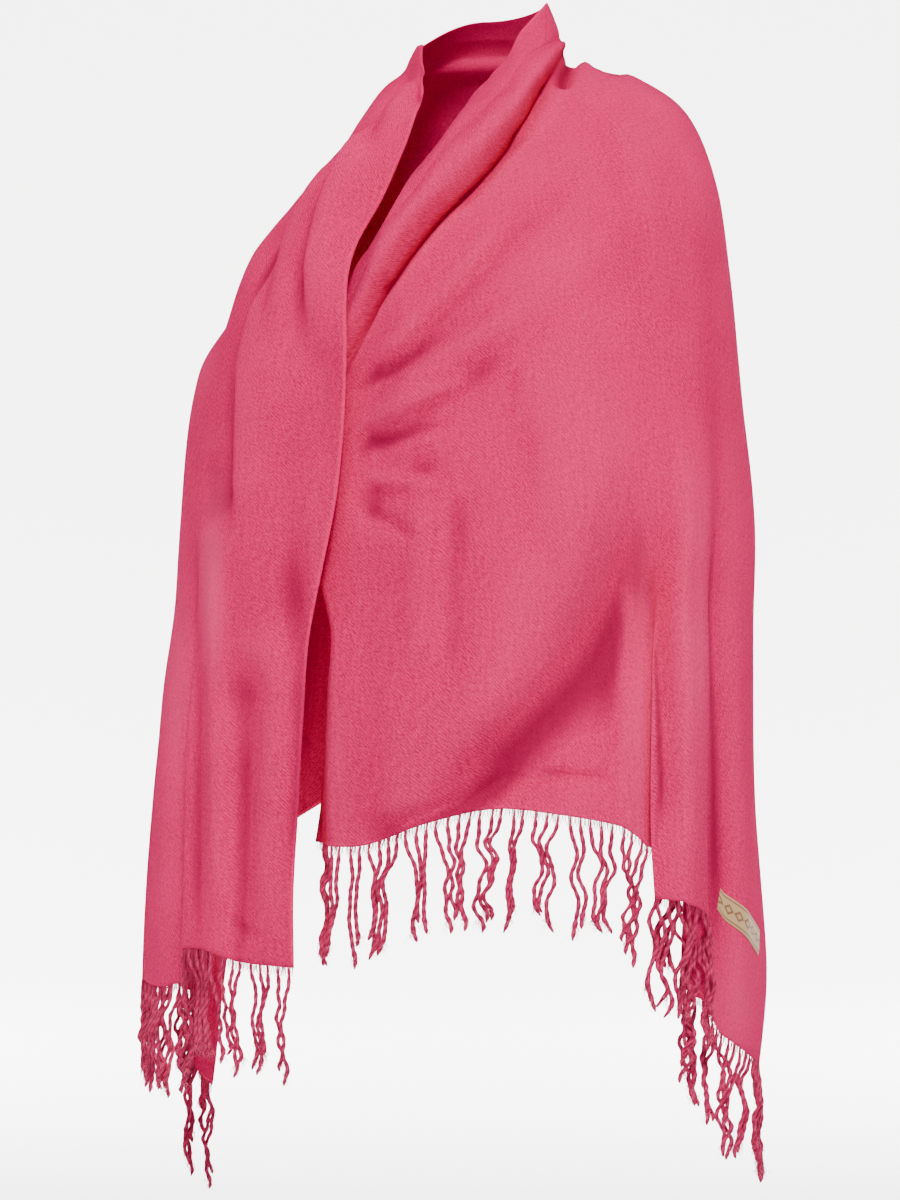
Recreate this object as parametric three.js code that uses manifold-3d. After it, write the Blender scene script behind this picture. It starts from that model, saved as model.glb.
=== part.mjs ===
// A woven shawl as it is worn: one length of cloth laid over both shoulders, with a twisted fringe at each
// end. Its right end hangs down the front. Its left end crosses the chest under that one, and hangs in a
// cascade. There is no wearer: the cloth is a thin open wall round the hollow that a body would fill.
//
// Millimetres, +Z up. The tables are laid out as seen from the wearer's left front, with X to the right and
// Y away from the viewer. The whole group is then turned, so that the wearer faces -Y.
import * as THREE from "three";
import Module from "manifold-3d";

const wasm = await Module();
wasm.setup();

// Driving sizes
const wall = 1.6; // the cloth, with the air that a soft twill holds
const seamGap = 0.3; // between pieces that meet
const wearerTurn = 33; // degrees, from the view that the tables use to the wearer's own front
const fringeLength = 96; // below the hem
const fringePitch = 13.5; // along the hem
const strandRadius = 1.5;
const strandSteps = 4;
const strandSides = 3;
const strandSway = 6; // how far a strand wanders aside
const headerDepth = 5; // the knotted header that the strands hang from
const headerInset = 0.003; // its ends stop short of the cloth's by this share of the width
const steepestHem = 0.4; // the header keeps its distance from hems up to this sine off the fall of the cloth
const labelLength = 62;
const labelWidth = 24;
const labelThickness = 0.8;
const labelColumns = 6;
const labelRows = 3;
const labelTilt = 14; // degrees, from the line of the hem
const labelPlace = { across: 0.25, down: 0.889 }; // its middle, as shares of the left end's width and height
const grooveReach = 24; // the collar's groove runs this far above and below its middle
const rollRise = 0.8; // how far the collar's roll stands off the form, as a share of its lap
const neckZ = 40; // the height at which a stretch's own angles set its place on the neckline
const hemSamples = 600; // steps in which the hem is walked to space the strands

// How finely each stretch is meshed across. Down the cloth they share their rows, so that their seams meet.
const columnsOf = { right: 45, back: 20, left: 44 };
const crowdReach = 3.2; // degrees on each side of a pleat's middle in which columns crowd
const crowdWeight = 0.28; // how many of them do
const seamCrowdReach = 0.03; // the share of the back's width next to its seams in which they crowd too
const rowsAboveGroove = 3;
const rowsInGroove = 6;
const rowsBelowGroove = 12;
const rowCount = rowsAboveGroove + rowsInGroove + rowsBelowGroove;

// The hollow form, as rings from the neck down. left, right, front and back are the reach from the neck's
// axis. The heights are where the ring passes each of them. skew slants the ring's depth with the shoulders.
const rings = [
  ring("collar edge", 64, 53, 54, 62, 48, 86, 44, 80, 0.1),
  ring("collar roll", 70, 60, 62, 72, 38, 60, 24, 64, 0.14),
  ring("neck base", 79, 62, 70, 80, 27, 47, 8, 50, 0.2),
  ring("shoulder root", 104, 80, 86, 94, 8, 33, -16, 30, 0.28),
  ring("shoulder slope", 147, 133, 112, 112, -26, 11, -54, -4, 0.36),
  ring("shoulder tip", 190, 179, 138, 128, -74, -32, -104, -56, 0.42),
  ring("upper arm", 235, 207, 160, 140, -160, -126, -170, -148, 0.42),
  ring("chest", 269, 222, 178, 146, -270, -270, -270, -270, 0.38),
  ring("elbow", 282, 235, 186, 150, -414, -414, -414, -414, 0.32),
  ring("hip", 300, 236, 186, 156, -594, -594, -594, -594, 0.26),
  ring("thigh", 311, 246, 182, 166, -774, -774, -774, -774, 0.22),
  ring("lowest corner", 314, 230, 178, 172, -954, -954, -954, -954, 0.2),
  ring("clear below", 314, 230, 178, 172, -1134, -1134, -1134, -1134, 0.2),
];

function ring(name, left, right, front, back, leftZ, rightZ, frontZ, backZ, skew) {
  return { name, left, right, front, back, leftZ, rightZ, frontZ, backZ, skew };
}

// Where each stretch starts and ends round the ring, by height. The angle is 0 on the right, 90 at the back,
// 180 on the left and 270, or -90, in front. rightEdge and leftEdge are the cloth's inner edges in front.
const sides = [
  { z: 60, rightEdge: 198, rightSeam: 142, leftSeam: 24, leftEdge: -132 },
  { z: 36, rightEdge: 214, rightSeam: 142, leftSeam: 23, leftEdge: -132 },
  { z: 12, rightEdge: 237, rightSeam: 142, leftSeam: 22, leftEdge: -132 },
  { z: -30, rightEdge: 243, rightSeam: 142, leftSeam: 20, leftEdge: -132 },
  { z: -150, rightEdge: 240.5, rightSeam: 143, leftSeam: 16, leftEdge: -132 },
  { z: -270, rightEdge: 243.4, rightSeam: 143, leftSeam: 13, leftEdge: -131 },
  { z: -350, rightEdge: 243, rightSeam: 144, leftSeam: 12, leftEdge: -130 },
  { z: -416, rightEdge: 241, rightSeam: 144, leftSeam: 11, leftEdge: -124 },
  { z: -484, rightEdge: 238.7, rightSeam: 145, leftSeam: 10, leftEdge: -119 },
  { z: -578, rightEdge: 238, rightSeam: 145, leftSeam: 9, leftEdge: -122 },
  { z: -770, rightEdge: 237.6, rightSeam: 146, leftSeam: 7, leftEdge: -127 },
  { z: -950, rightEdge: 237.5, rightSeam: 146, leftSeam: 6, leftEdge: -127 },
];

// The neckline: which ring it starts on, how far below it the collar's groove runs, how far the collar laps
// over that groove, and how far the roll above it bulges. It all fades where it dives under the right end.
const neckline = [
  { angle: 196, top: 0, band: 40, lap: 0, bulge: 0 },
  { angle: 130, top: 0, band: 42, lap: 3, bulge: 2 },
  { angle: 20, top: 0, band: 46, lap: 4, bulge: 3 },
  { angle: -20, top: 0, band: 52, lap: 6, bulge: 4 },
  { angle: -57, top: 0, band: 68, lap: 10, bulge: 9 },
  { angle: -80, top: 0.9, band: 90, lap: 12, bulge: 12 },
  { angle: -98, top: 2.3, band: 134, lap: 12, bulge: 14 },
  { angle: -112, top: 4.4, band: 134, lap: 10, bulge: 12 },
  { angle: -119, top: 5.7, band: 114, lap: 6, bulge: 7 },
  { angle: -132, top: 6.6, band: 80, lap: 0, bulge: 0 },
];

// The lower edge all round: the fringed hem of the right end, the long selvedge at the back, and the
// fringed hem of the left end
const lowerEdge = [
  { angle: 246, z: -769 },
  { angle: 226, z: -767 },
  { angle: 217.5, z: -758 },
  { angle: 214, z: -766 },
  { angle: 210.5, z: -786 },
  { angle: 200, z: -798 },
  { angle: 180, z: -794 },
  { angle: 165, z: -802 },
  { angle: 156, z: -808 },
  { angle: 153, z: -814 },
  { angle: 151.2, z: -830 },
  { angle: 148.2, z: -880 },
  { angle: 146, z: -905 },
  { angle: 144, z: -840 },
  { angle: 142, z: -780 },
  { angle: 138, z: -720 },
  { angle: 130, z: -668 },
  { angle: 112, z: -622 },
  { angle: 88, z: -600 },
  { angle: 62, z: -606 },
  { angle: 44, z: -640 },
  { angle: 26, z: -720 },
  { angle: 14, z: -800 },
  { angle: 6, z: -857 },
  { angle: -14, z: -852 },
  { angle: -34, z: -824 },
  { angle: -42, z: -790 },
  { angle: -45.5, z: -742 },
  { angle: -49, z: -708 },
  { angle: -52, z: -698 },
  { angle: -56, z: -660 },
  { angle: -62, z: -642 },
  { angle: -76, z: -632 },
  { angle: -90, z: -628 },
  { angle: -100, z: -640 },
  { angle: -112, z: -662 },
  { angle: -128, z: -660 },
];

// Pleats that fold back over themselves. Each runs down the cloth from topDown, a share of its height, and
// round it from topAngle to angle. Its cloth takes up twice half, runs lap forward and back, and stands deep
// apart from end to end. over is 1 where its first side, with the larger angle, lies on top, and else -1.
const pleats = [
  pleat("right", "front panel", 0.5, 204, 214, 15, 22, 16, 1),
  pleat("right", "outer panel", 0.55, 170, 168, 14, 20, 14, -1),
  pleat("right", "back corner", 0.6, 149, 149.7, 10.5, 13, 12, 1),
  pleat("left", "outer fold", 0.42, -33, -45.5, 13, 19, 14, -1),
  pleat("left", "inner fold", 0.62, -51, -53, 11.5, 15, 12, 1),
];

function pleat(on, name, topDown, topAngle, angle, half, lap, deep, over) {
  return { on, name, topDown, topAngle, angle, half, lap, deep, over };
}
const pleatFade = 70; // the step that a pleat leaves on each side of it dies out over this

// Soft folds: ridges, or troughs where the height is negative. Each runs from x1, z1 to x2, z2 in the view's
// plane, bowed sideways by bow. above and below are how wide it is on its two sides.
const softFolds = [
  softFold("right", "first shoulder pleat", -76, 12, -158, -195, 14, 11, 26, -14),
  softFold("right", "hollow beside it", -92, 8, -176, -196, -9, 16, 11, -14),
  softFold("right", "second shoulder pleat", -112, -25, -220, -240, 15, 11, 30, -26),
  softFold("right", "its run to the elbow", -220, -220, -224, -370, 13, 11, 30, 0),
  softFold("right", "hollow outside it", -128, -24, -236, -236, -9, 18, 11, -26),
  softFold("right", "elbow", -218, -370, -216, -520, 11, 34, 34, 0),
  softFold("right", "rib above the hem", -182, -460, -192, -760, 7, 20, 20, 0),
  softFold("right", "inner rib", -150, -330, -158, -760, 6, 18, 20, 0),
  softFold("left", "upper crease", -108, -284, 66, -92, -11, 16, 20, 0),
  softFold("left", "ridge under it", -108, -306, 84, -150, 9, 18, 24, 0),
  softFold("left", "middle crease", -112, -330, 20, -236, -10, 16, 20, 0),
  softFold("left", "lower crease", -116, -372, -40, -330, -10, 18, 22, 0),
  softFold("left", "forearm ridge", 96, -300, -108, -640, 18, 60, 32, 40),
  softFold("left", "hollow under the forearm", 140, -380, -30, -620, -16, 32, 46, 36),
  softFold("left", "hollow inside the rib", 146, -400, 142, -700, -6, 13, 13, 0),
  softFold("left", "rib beside the arm", 170, -340, 168, -760, 7, 14, 13, 0),
  softFold("left", "crease outside it", 192, -300, 194, -740, -5, 12, 16, 0),
  softFold("back", "left yoke fold", 60, -40, 120, -420, 10, 30, 34, -16),
  softFold("back", "right yoke fold", -50, -50, -120, -460, 10, 34, 30, 18),
  softFold("back", "middle fold", 10, -180, 0, -600, 11, 30, 36, 0),
  softFold("back", "left hem fold", 96, -330, 130, -640, 12, 28, 26, 0),
  softFold("back", "right hem fold", -90, -320, -110, -640, 12, 26, 28, 0),
];

function softFold(on, name, x1, z1, x2, z2, height, above, below, bow) {
  return { on, name, x1, z1, x2, z2, height, above, below, bow };
}

// The left end's inner side passes under the right end between these two X. Lower down it turns in on itself.
const crossing = { start: -70, end: -112, under: -6, over: 4, topZ: -60, fullZ: -150 };
const turnIn = { ridge: -138, width: 30, depth: -30, startZ: -440, endZ: -540 };
const seamFade = 0.08; // the share of a stretch's width in which its folds die out towards a seam

const radians = THREE.MathUtils.degToRad;
const lerp = THREE.MathUtils.lerp;

function smooth(from, to, x) {
  const t = Math.min(1, Math.max(0, (x - from) / (to - from)));
  return t * t * (3 - 2 * t);
}

// The value of a table's column at a place in its rows, counted from 0, on a smooth curve through them
function alongRows(table, column, place) {
  const last = table.length - 1;
  const at = Math.min(last, Math.max(0, place));
  const i = Math.min(last - 1, Math.floor(at));
  const value = (k) => table[Math.min(last, Math.max(0, k))][column];
  const t = at - i;
  const [a, b, c, d] = [value(i - 1), value(i), value(i + 1), value(i + 2)];
  return b + 0.5 * t * (c - a + t * (2 * a - 5 * b + 4 * c - d + t * (3 * (b - c) + d - a)));
}

// The place in a table's rows where a column that only rises, or only falls, has that value
function placeOf(table, column, value) {
  const last = table.length - 1;
  const sign = Math.sign(table[last][column] - table[0][column]);
  const i = Math.max(0, table.findLastIndex((row) => sign * row[column] <= sign * value));
  if (i >= last) return last;
  const share = (value - table[i][column]) / (table[i + 1][column] - table[i][column]);
  return i + Math.max(0, share);
}

// A point of the hollow form
function formPoint(angle, level) {
  const c = Math.cos(radians(angle));
  const s = Math.sin(radians(angle));
  const at = (column) => alongRows(rings, column, level);
  const x = c * at(c > 0 ? "right" : "left");
  const y = s * at(s > 0 ? "back" : "front") - at("skew") * x;
  const z = c * c * at(c > 0 ? "rightZ" : "leftZ") + s * s * at(s > 0 ? "backZ" : "frontZ");
  return new THREE.Vector3(x, y, z);
}

// How far down the cloth each ring lies, as the mean of its four sides
rings.forEach((row, level) => {
  const above = Math.max(0, level - 1);
  const steps = [0, 90, 180, 270].map((angle) => formPoint(angle, level).distanceTo(formPoint(angle, above)));
  row.drop = (rings[level - 1]?.drop ?? 0) + (steps[0] + steps[1] + steps[2] + steps[3]) / 4;
});

// How far a point moves in a degree round the form and in a ring down it, and the way out of the form
function formFrame(angle, level) {
  const up = Math.max(0, level - 0.05);
  const low = Math.min(rings.length - 1, level + 0.05);
  const round = formPoint(angle - 0.5, level).sub(formPoint(angle + 0.5, level));
  const down = formPoint(angle, low).sub(formPoint(angle, up)).divideScalar(low - up);
  return { round: round.length(), down: down.length(), out: round.cross(down).normalize() };
}

// How far a soft fold lifts the cloth at x, z
function softLift(row, x, z) {
  const dx = row.x2 - row.x1;
  const dz = row.z2 - row.z1;
  const length = Math.hypot(dx, dz);
  const along = ((x - row.x1) * dx + (z - row.z1) * dz) / length ** 2;
  const aside = ((x - row.x1) * dz - (z - row.z1) * dx) / length + 4 * row.bow * along * (1 - along);
  const width = aside > 0 ? row.above : row.below;
  const ends = smooth(-0.12, 0.22, along) * (1 - smooth(0.78, 1.12, along));
  return row.height * ends * Math.exp(-((aside / width) ** 2));
}

// The left end's inner side and the right end lie over each other without touching
function crossingLift(name, x, z) {
  const share = 1 - smooth(crossing.end, crossing.start, x);
  if (name === "right") return crossing.over * share * smooth(crossing.topZ, crossing.fullZ, z);
  if (name === "back") return 0;
  const past = 1 - smooth(turnIn.ridge - turnIn.width, turnIn.ridge, x);
  return crossing.under * share + turnIn.depth * past * smooth(turnIn.startZ, turnIn.endZ, z);
}

// The angle of a pleat's middle
function pleatMiddle(row, down) {
  return lerp(row.topAngle, row.angle, smooth(row.topDown, 1, down));
}

// How a pleat shifts the cloth forward and lifts it, at a distance past its middle
function pleatAt(row, distance, down) {
  const grown = (down - row.topDown) / (1 - row.topDown);
  const folded = smooth(0, 0.9, grown);
  const deep = row.over * row.deep * smooth(0, 0.32, grown);
  const s = (distance / row.half + 1) / 2;
  if (s > 0 && s < 1) {
    const lift = deep * (0.5 - s + (folded * Math.sin(4 * Math.PI * s)) / (4 * Math.PI));
    return { shift: folded * row.lap * Math.sin(2 * Math.PI * s), lift };
  }
  const fade = 1 - smooth(row.half, row.half + pleatFade, Math.abs(distance));
  return { shift: 0, lift: -0.5 * Math.sign(distance) * deep * fade };
}

// Round the form: the angle of a stretch's first and second side at a height
const sidesOf = {
  right: ["rightEdge", "rightSeam"],
  back: ["rightSeam", "leftSeam"],
  left: ["leftSeam", "leftEdge"],
};
const seamsOf = { right: [false, true], back: [true, true], left: [true, false] };

function angleOf(name, across, z) {
  const place = placeOf(sides, "z", z);
  const [first, second] = sidesOf[name].map((column) => alongRows(sides, column, place));
  return lerp(first, second, across);
}

// The ring at which a stretch starts, and how far its cloth runs down from there to its lower edge
function runOf(name, across) {
  const neck = placeOf(neckline, "angle", angleOf(name, across, neckZ));
  const start = Math.max(0, alongRows(neckline, "top", neck));
  let z = lowerEdge[0].z;
  for (let i = 0; i < 5; i++) {
    z = alongRows(lowerEdge, "z", placeOf(lowerEdge, "angle", angleOf(name, across, z)));
  }
  const startDrop = alongRows(rings, "drop", start);
  return { startDrop, run: alongRows(rings, "drop", placeOf(rings, "leftZ", z)) - startDrop };
}

// A point of the cloth's middle surface, at shares of the stretch's width and height
function clothPoint(name, across, down) {
  const { startDrop, run } = runOf(name, across);
  const level = placeOf(rings, "drop", startDrop + down * run);
  const z = alongRows(rings, "leftZ", level);
  const angle = angleOf(name, across, z);
  const frame = formFrame(angle, level);
  let shift = 0;
  let lift = 0;
  for (const row of pleats.filter((each) => each.on === name || name === "back")) {
    const change = pleatAt(row, (pleatMiddle(row, down) - angle) * frame.round, down);
    shift += change.shift;
    lift += change.lift;
  }
  const neck = placeOf(neckline, "angle", angle);
  const lap = alongRows(neckline, "lap", neck);
  const groove = (down * run - alongRows(neckline, "band", neck)) / grooveReach;
  const roll = Math.abs(groove) < 1 ? lap * Math.sin(Math.PI * groove) : 0;
  const point = formPoint(angle - shift / frame.round, placeOf(rings, "drop", startDrop + down * run - roll));
  const inBand = Math.min(1, (down * run) / alongRows(neckline, "band", neck));
  lift += alongRows(neckline, "bulge", neck) * Math.sin(Math.PI * inBand) - rollRise * roll;
  lift += foldLift(name, across, point.x, point.z);
  return point.addScaledVector(frame.out, lift);
}

// How far the soft folds and the crossing lift the cloth. They die out towards a seam.
function foldLift(name, across, x, z) {
  const [firstSeam, secondSeam] = seamsOf[name];
  let lift = crossingLift(name, x, z);
  for (const row of softFolds) {
    if (row.on === name) lift += softLift(row, x, z);
  }
  if (firstSeam) lift *= smooth(0, seamFade, across);
  if (secondSeam) lift *= smooth(0, seamFade, 1 - across);
  return lift;
}

// The cloth's middle and its way out, at shares of the stretch's width and height
function clothFrame(name, across, down) {
  const e = 0.001;
  const point = clothPoint(name, across, down);
  const left = clothPoint(name, Math.max(0, across - e), down);
  const right = clothPoint(name, Math.min(1, across + e), down);
  const upper = clothPoint(name, across, Math.max(0, down - e));
  const lower = clothPoint(name, across, Math.min(1, down + e));
  const round = right.sub(left).normalize();
  const fall = lower.sub(upper).normalize();
  return { point, fall, out: round.cross(fall).normalize() };
}

// The height at shares of a stretch's width and height, as its rings count it
function heightOf(name, across, down) {
  const { startDrop, run } = runOf(name, across);
  return alongRows(rings, "leftZ", placeOf(rings, "drop", startDrop + down * run));
}

// The share of a stretch's width at which its cloth has an angle, and how much of it a degree takes up
function acrossOf(name, angle, down) {
  let across = 0.4;
  let degree = 0;
  for (let i = 0; i < 4; i++) {
    const z = heightOf(name, across, down);
    const first = angleOf(name, 0, z);
    degree = 1 / (first - angleOf(name, 1, z));
    across = (first - angle) * degree;
  }
  return { middle: across, reach: crowdReach * degree };
}

// The share of a stretch's width at which a column lies. Columns are closest in the pleats and at corners.
function columnAcross(name, share, down) {
  if (share === 0 || share === 1) return share;
  const crowds = pleats
    .filter((row) => row.on === name)
    .map((row) => acrossOf(name, pleatMiddle(row, down), down));
  if (name === "back") {
    crowds.push({ middle: 0, reach: seamCrowdReach });
    crowds.push({ middle: 1, reach: seamCrowdReach });
  }
  const pull = (row, a) => crowdWeight * Math.tanh((a - row.middle) / row.reach);
  const crowded = (a) => crowds.reduce((sum, row) => sum + pull(row, a), a);
  const target = lerp(crowded(0), crowded(1), share);
  let low = 0;
  let high = 1;
  for (let i = 0; i < 20; i++) {
    const middle = (low + high) / 2;
    if (crowded(middle) < target) low = middle;
    else high = middle;
  }
  return (low + high) / 2;
}

// The share of the cloth's run at which a row lies. Rows are closest in the collar's groove.
function rowDown(name, share, row) {
  const { run } = runOf(name, share);
  const band = alongRows(neckline, "band", placeOf(neckline, "angle", angleOf(name, share, neckZ)));
  if (row <= rowsAboveGroove) return ((row / rowsAboveGroove) * (band - grooveReach)) / run;
  const inGroove = (row - rowsAboveGroove) / rowsInGroove;
  if (inGroove <= 1) return (band - grooveReach + inGroove * 2 * grooveReach) / run;
  const below = (row - rowsAboveGroove - rowsInGroove) / rowsBelowGroove;
  return lerp((band + grooveReach) / run, 1, below);
}

// A closed geometry from points and triangles
function geometryOf(points, triangles) {
  const geometry = new THREE.BufferGeometry().setFromPoints(points);
  geometry.setIndex(triangles);
  geometry.computeVertexNormals();
  return geometry;
}

// A wall between two grids of points that face each other, closed round its rim. The rims of two walls that
// meet are split along the same diagonals, so that the gap between them stays open.
function wallOf(outer, inner, columns, rows) {
  const stride = rows + 1;
  const shift = outer.length;
  const at = (i, j) => i * stride + j;
  const triangles = [];
  const quad = (a, b, c, d) => triangles.push(a, b, c, a, c, d);
  for (let i = 0; i < columns; i++) {
    for (let j = 0; j < rows; j++) {
      const [a, b, c, d] = [at(i, j), at(i + 1, j), at(i + 1, j + 1), at(i, j + 1)];
      quad(a, b, c, d);
      quad(a + shift, d + shift, c + shift, b + shift);
    }
    quad(at(i, 0), at(i, 0) + shift, at(i + 1, 0) + shift, at(i + 1, 0));
    quad(at(i, rows), at(i + 1, rows), at(i + 1, rows) + shift, at(i, rows) + shift);
  }
  for (let j = 0; j < rows; j++) {
    quad(at(0, j), at(0, j + 1), at(0, j + 1) + shift, at(0, j) + shift);
    quad(at(columns, j), at(columns, j) + shift, at(columns, j + 1) + shift, at(columns, j + 1));
  }
  return geometryOf([...outer, ...inner], triangles);
}

// A stretch of cloth. Its seams stop short of its neighbours by half the gap.
function clothOf(name) {
  const columns = columnsOf[name];
  const outer = [];
  const inner = [];
  for (let i = 0; i <= columns; i++) {
    for (let j = 0; j <= rowCount; j++) {
      const guess = i / columns;
      const down = rowDown(name, columnAcross(name, guess, j / rowCount), j);
      const { point, fall, out } = clothFrame(name, columnAcross(name, guess, down), down);
      const inward = i === 0 ? 1 : i === columns ? -1 : 0;
      point.addScaledVector(fall.cross(out), (inward * seamGap) / 2);
      outer.push(point.clone().addScaledVector(out, wall / 2));
      inner.push(point.clone().addScaledVector(out, -wall / 2));
    }
  }
  return wallOf(outer, inner, columns, rowCount);
}

// The hem's line at a share of a stretch's width: a point, the way out, and a step off the edge that moves
// away from the hem's line by 1
function hemFrame(name, across) {
  const { point, out, fall } = clothFrame(name, across, 1);
  const e = 0.001;
  const before = clothPoint(name, Math.max(0, across - e), 1);
  const along = clothPoint(name, Math.min(1, across + e), 1).sub(before).normalize();
  const slant = Math.max(steepestHem, along.cross(fall).length());
  return { point, out, off: fall.divideScalar(slant) };
}

// The same number in 0 to 1 each time for the same n, with no pattern from one n to the next
function scatter(n) {
  const s = Math.sin(n * 127.1 + 11.7) * 4375.85;
  return s - Math.floor(s);
}

// A tube of few sides through points, closed at both ends
function tubeOf(points, radius) {
  const corners = [];
  points.forEach((point) => {
    for (let k = 0; k < strandSides; k++) {
      const turn = (2 * Math.PI * k) / strandSides;
      corners.push(new THREE.Vector3(radius * Math.cos(turn), radius * Math.sin(turn), 0).add(point));
    }
  });
  const triangles = [];
  for (let i = 0; i + 1 < points.length; i++) {
    for (let k = 0; k < strandSides; k++) {
      const a = i * strandSides + k;
      const b = i * strandSides + ((k + 1) % strandSides);
      triangles.push(a, a + strandSides, b + strandSides, a, b + strandSides, b);
    }
  }
  const end = corners.length - strandSides;
  triangles.push(0, 1, 2, end, end + 2, end + 1);
  return geometryOf(corners, triangles);
}

function solidOf(geometry) {
  const vertProperties = new Float32Array(geometry.attributes.position.array);
  const triVerts = new Uint32Array(geometry.index.array);
  return new wasm.Manifold(new wasm.Mesh({ numProp: 3, vertProperties, triVerts }));
}

function geometryFrom(solid) {
  const { vertProperties, triVerts } = solid.getMesh();
  const geometry = new THREE.BufferGeometry();
  geometry.setAttribute("position", new THREE.BufferAttribute(new Float32Array(vertProperties), 3));
  geometry.setIndex(new THREE.BufferAttribute(new Uint32Array(triVerts), 1));
  geometry.computeVertexNormals();
  return geometry;
}

// A twisted strand that hangs from a point of the header, and wanders a little on its way down
function strandOf(root, round, n) {
  const length = fringeLength * lerp(0.86, 1.06, scatter(n));
  const sway = strandSway * lerp(-1, 1, scatter(n + 0.3));
  const bend = 2.2 + 2 * scatter(n + 0.6);
  const points = [];
  for (let k = 0; k <= strandSteps; k++) {
    const t = k / strandSteps;
    const aside = sway * (Math.sin(bend * Math.PI * t) * 0.6 + t);
    points.push(root.clone().addScaledVector(round, aside).add(new THREE.Vector3(0, 0, -length * t)));
  }
  return solidOf(tubeOf(points, strandRadius));
}

// The fringe of a hem: a header along it, and the strands that hang clear of the cloth
function fringeOf(name, cloths) {
  const columns = columnsOf[name];
  const outer = [];
  const inner = [];
  for (let i = 0; i <= columns; i++) {
    const across = Math.min(1 - headerInset, Math.max(headerInset, columnAcross(name, i / columns, 1)));
    const { point, out, off } = hemFrame(name, across);
    for (const depth of [seamGap, seamGap + headerDepth]) {
      const at = point.clone().addScaledVector(off, depth);
      outer.push(at.clone().addScaledVector(out, wall / 2));
      inner.push(at.clone().addScaledVector(out, -wall / 2));
    }
  }
  const header = solidOf(wallOf(outer, inner, columns, 1));
  const solids = [header];
  let walked = fringePitch / 2;
  let last = hemFrame(name, 0).point;
  for (let i = 1; i < hemSamples; i++) {
    const { point, off } = hemFrame(name, i / hemSamples);
    const step = point.clone().sub(last);
    walked += step.length();
    last = point;
    if (walked < fringePitch) continue;
    walked -= fringePitch;
    const root = point.clone().addScaledVector(off, seamGap + headerDepth / 2);
    const strand = strandOf(root, step.setZ(0).normalize(), solids.length);
    const clear = cloths.every((cloth) => strand.intersect(cloth).isEmpty());
    if (clear && !strand.intersect(header).isEmpty()) solids.push(strand);
  }
  return geometryFrom(wasm.Manifold.union(solids));
}

// The woven label, laid on the left end near its outer corner and made from that cloth's own points
function labelOf() {
  const { across, down } = labelPlace;
  const e = 0.01;
  const apart = (da, dd) => {
    const before = clothPoint("left", across - da, down - dd);
    return clothPoint("left", across + da, down + dd).distanceTo(before) / (2 * e);
  };
  const acrossScale = apart(e, 0);
  const downScale = apart(0, e);
  const cos = Math.cos(radians(labelTilt));
  const sin = Math.sin(radians(labelTilt));
  const outer = [];
  const inner = [];
  for (let i = 0; i <= labelColumns; i++) {
    for (let j = 0; j <= labelRows; j++) {
      const s = labelLength * (0.5 - i / labelColumns);
      const t = labelWidth * (j / labelRows - 0.5);
      const a = across - (s * cos - t * sin) / acrossScale;
      const d = down + (s * sin + t * cos) / downScale;
      const { point, out } = clothFrame("left", a, d);
      const base = wall / 2 + seamGap;
      outer.push(point.clone().addScaledVector(out, base + labelThickness));
      inner.push(point.clone().addScaledVector(out, base));
    }
  }
  return wallOf(outer, inner, labelColumns, labelRows);
}

const pink = new THREE.MeshStandardMaterial({ color: 0xd94f78, roughness: 0.72, metalness: 0 });
const deepPink = new THREE.MeshStandardMaterial({ color: 0xb8305a, roughness: 0.8, metalness: 0 });
const tan = new THREE.MeshStandardMaterial({ color: 0xcfa878, roughness: 0.6, metalness: 0 });

function named(name, geometry, material) {
  const mesh = new THREE.Mesh(geometry, material);
  mesh.name = name;
  return mesh;
}

const right = clothOf("right");
const back = clothOf("back");
const left = clothOf("left");
const cloths = [right, back, left].map(solidOf);

const shawl = new THREE.Group();
shawl.add(named("right_end", right, pink));
shawl.add(named("back", back, pink));
shawl.add(named("left_end", left, pink));
shawl.add(named("fringe_right", fringeOf("right", cloths), deepPink));
shawl.add(named("fringe_left", fringeOf("left", cloths), deepPink));
shawl.add(named("label", labelOf(), tan));
shawl.rotation.z = radians(wearerTurn);

export default shawl;
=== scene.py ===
"""A pink twill scarf worn as a wrap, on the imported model's hollow form. Metres, +Z up, wearer faces -Y."""
import math

import bpy
import mathutils
import numpy as np
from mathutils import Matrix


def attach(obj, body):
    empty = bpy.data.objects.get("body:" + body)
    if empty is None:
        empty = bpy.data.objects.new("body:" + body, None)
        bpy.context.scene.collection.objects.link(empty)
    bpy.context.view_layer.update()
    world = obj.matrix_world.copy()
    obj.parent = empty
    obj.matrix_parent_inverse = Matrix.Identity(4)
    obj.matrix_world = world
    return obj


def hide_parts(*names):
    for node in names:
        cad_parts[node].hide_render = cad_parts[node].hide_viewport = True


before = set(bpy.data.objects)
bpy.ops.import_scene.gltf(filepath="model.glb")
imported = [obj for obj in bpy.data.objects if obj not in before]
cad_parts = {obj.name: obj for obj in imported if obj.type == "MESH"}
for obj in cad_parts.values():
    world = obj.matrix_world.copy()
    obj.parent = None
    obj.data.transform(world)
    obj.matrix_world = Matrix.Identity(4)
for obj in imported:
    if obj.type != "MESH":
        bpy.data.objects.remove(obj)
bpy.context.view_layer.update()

# The photographer's place
# The photograph is taken level, from 3.2 m away and 33 degrees round from the wearer's front towards their
# left, and takes in 1.08 m of height there: a lens of 36 mm x 3.2 / 1.08. The tables below are laid out in
# that view: X to the right, Y away from the viewer, millimetres.
view_turn = math.radians(33)


def placed(points):
    """Points of the view's axes in millimetres, as metres in the model's frame: a turn about Z."""
    x, y, z = np.moveaxis(np.asarray(points, float) / 1000, -1, 0)
    c, s = math.cos(view_turn), math.sin(view_turn)
    return np.stack([x * c - y * s, x * s + y * c, z], axis=-1)


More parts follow.
